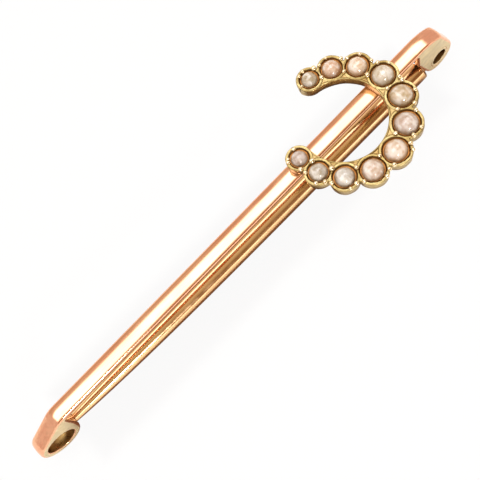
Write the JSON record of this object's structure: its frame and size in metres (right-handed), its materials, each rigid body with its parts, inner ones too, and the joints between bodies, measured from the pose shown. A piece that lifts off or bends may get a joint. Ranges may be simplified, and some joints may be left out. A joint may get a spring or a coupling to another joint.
{
  "type": "bar brooch",
  "caption": "Slim gold bar brooch with a looped catch, a riveted hinge with a tapered pin, and a crescent set with graduated seed pearls.",
  "frame": {"origin": "on the surface that the brooch lies on, under the middle of its bounding box", "axes": "+X along the bar from the catch loop to the hinge, +Y across the bar, +Z out of the brooch's face, towards the viewer"},
  "size_m": [0.051, 0.0124, 0.0076],
  "materials": {
    "rose_gold": "polished rose gold",
    "stem_gold": "polished gold, slightly worn",
    "yellow_gold": "soft polished yellow gold",
    "pearl": "nacre with a soft lustre"
  },
  "bodies": {
    "bar": {"front_strip": "rose_gold", "catch_loop": "rose_gold", "hinge_cover": "rose_gold", "hinge_cheek_near": "rose_gold", "hinge_cheek_far": "rose_gold", "hinge_rivet": "rose_gold", "crescent_plate": "yellow_gold", "setting_grains": "yellow_gold", "pearl_01": "pearl", "pearl_02": "pearl", "pearl_03": "pearl", "pearl_04": "pearl", "pearl_05": "pearl", "pearl_06": "pearl", "pearl_07": "pearl", "pearl_08": "pearl", "pearl_09": "pearl", "pearl_10": "pearl", "pearl_11": "pearl"},
    "pin": {"pin_knuckle": "stem_gold", "pin_stem": "stem_gold"}
  },
  "joints": [
    {"name": "pin_hinge", "type": "hinge", "parent": "bar", "child": "pin", "pos_m": [0.0238, 0.00067, 0.0017], "axis": [0, -1, 0], "range_deg": [0, 95]}
  ]
}
